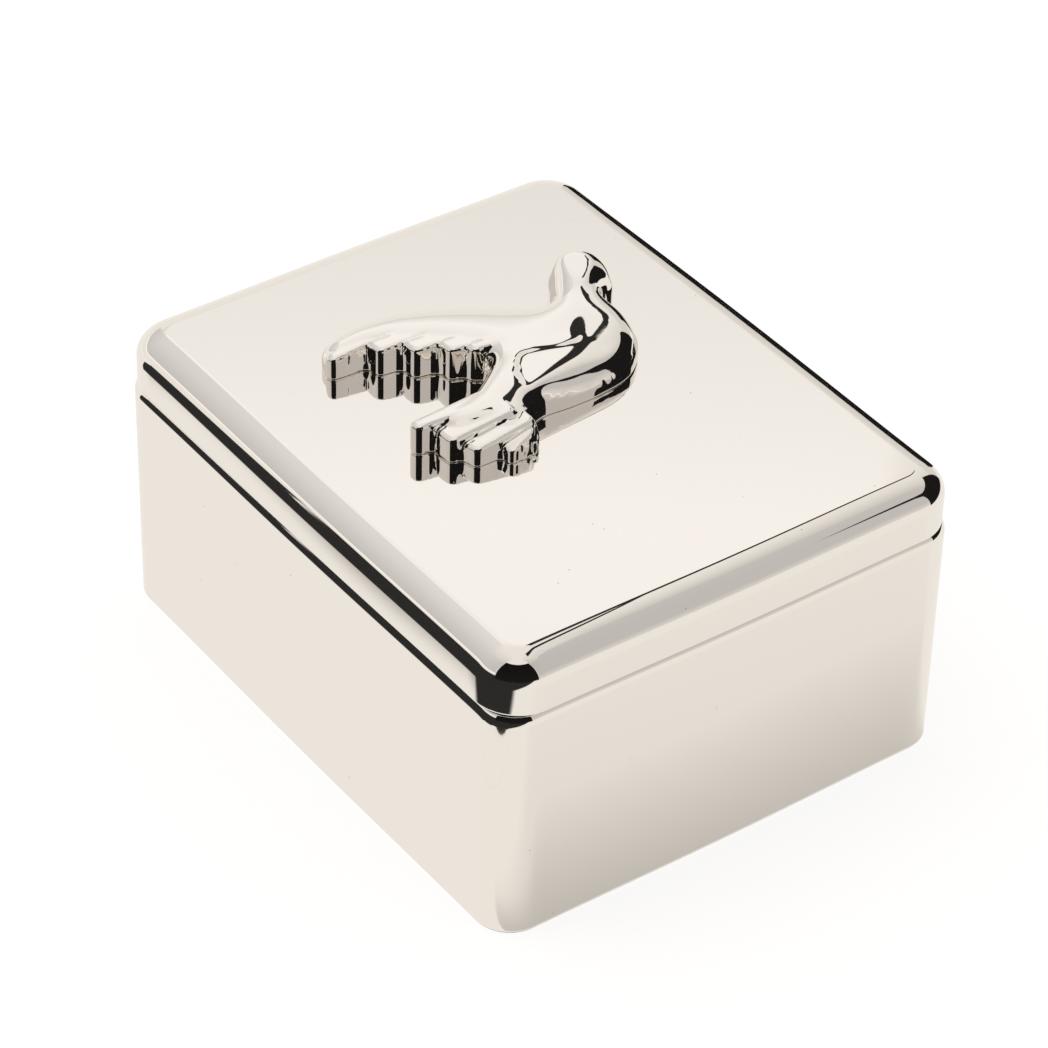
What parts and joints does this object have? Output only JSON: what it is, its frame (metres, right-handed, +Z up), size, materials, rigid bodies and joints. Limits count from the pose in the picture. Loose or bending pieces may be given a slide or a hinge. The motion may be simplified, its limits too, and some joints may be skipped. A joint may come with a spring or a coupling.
{
  "type": "keepsake box",
  "caption": "Rectangular plated metal keepsake box with a shouldered lid hinged at the back, a cast dove on the lid and a velvet lining.",
  "frame": {"origin": "centre of the felt's resting face, which the box stands on", "axes": "+X to the right along the front, +Y from the front to the hinged back, +Z up"},
  "size_m": [0.1026, 0.1315, 0.0707],
  "materials": {
    "silver_plate": "bright silver plate",
    "nickel_plate": "satin nickel plate",
    "lining_velvet": "velvet",
    "base_felt": "felt"
  },
  "bodies": {
    "base": {"base_body": "silver_plate", "base_felt": "base_felt", "floor_plate": "nickel_plate", "lining_wall": "lining_velvet", "lining_floor": "lining_velvet", "hinge_base_leaf_left": "nickel_plate", "hinge_pin_left": "nickel_plate", "rivet_base_left_1": "nickel_plate", "rivet_base_left_2": "nickel_plate", "hinge_base_leaf_right": "nickel_plate", "hinge_pin_right": "nickel_plate", "rivet_base_right_1": "nickel_plate", "rivet_base_right_2": "nickel_plate"},
    "lid": {"lid_shell": "silver_plate", "lining_lid": "lining_velvet", "dove": "silver_plate", "dove_washer_front": "nickel_plate", "dove_washer_rear": "nickel_plate", "dove_nut_front": "nickel_plate", "dove_nut_rear": "nickel_plate", "hinge_lid_leaf_left": "nickel_plate", "rivet_lid_left_1": "nickel_plate", "rivet_lid_left_2": "nickel_plate", "hinge_lid_leaf_right": "nickel_plate", "rivet_lid_right_1": "nickel_plate", "rivet_lid_right_2": "nickel_plate"}
  },
  "joints": [
    {"name": "lid_hinge", "type": "hinge", "parent": "base", "child": "lid", "pos_m": [0, 0.06478, 0.05005], "axis": [-1, 0, 0], "range_deg": [0, 105]}
  ]
}
